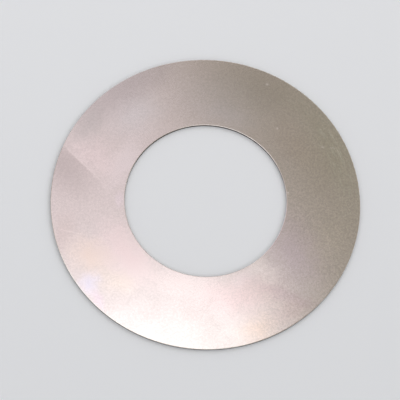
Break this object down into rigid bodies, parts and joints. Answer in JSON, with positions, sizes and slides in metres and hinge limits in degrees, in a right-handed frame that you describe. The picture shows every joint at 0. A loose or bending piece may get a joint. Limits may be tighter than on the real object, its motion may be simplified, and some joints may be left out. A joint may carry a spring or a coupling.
{
  "type": "shim ring",
  "caption": "Thin flat steel ring with a plain round bore, stamped from sheet in one piece, for setting axial play between a shoulder and a bearing.",
  "frame": {"origin": "centre of the bore, on the lower face", "axes": "+Z along the bore axis, out of the upper face, which has the rolled-over edges; X and Y are equivalent"},
  "size_m": [0.0617, 0.0616, 0.0005],
  "materials": {
    "steel": "bright cold-rolled, satin, with handling scratches and smears"
  },
  "bodies": {
    "root": {"shim_ring": "steel"}
  },
  "joints": []
}
